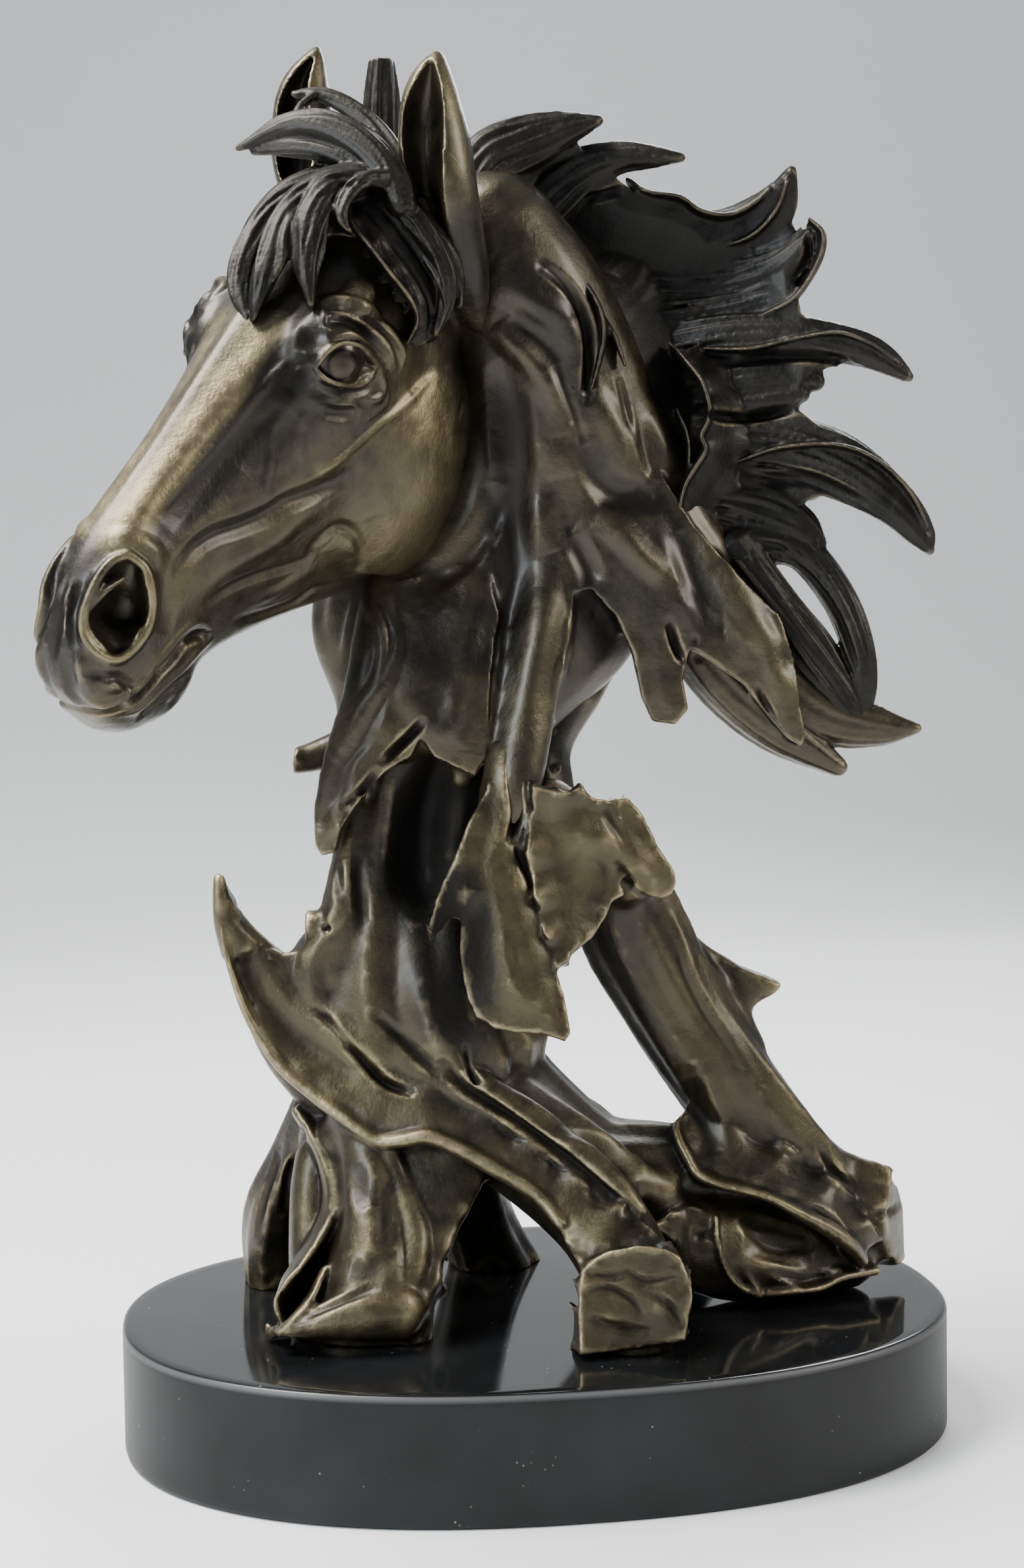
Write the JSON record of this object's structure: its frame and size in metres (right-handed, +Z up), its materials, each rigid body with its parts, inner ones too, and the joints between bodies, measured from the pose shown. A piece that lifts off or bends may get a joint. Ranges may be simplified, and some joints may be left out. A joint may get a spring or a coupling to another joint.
{
  "type": "horse bust sculpture",
  "caption": "Cast bronze horse bust with a windswept mane, its torn neck running down into root-like folds, on an oval black marble plinth.",
  "frame": {"origin": "centre of the plinth's underside", "axes": "+Z up, +X along the plinth's long axis towards the end of the mane, -Y towards the side that the horse's face is turned to"},
  "size_m": [0.2627, 0.175, 0.406],
  "materials": {
    "bronze": null,
    "black_marble": null
  },
  "bodies": {
    "root": {"bronze_horse": "bronze", "marble_plinth": "black_marble"}
  },
  "joints": []
}
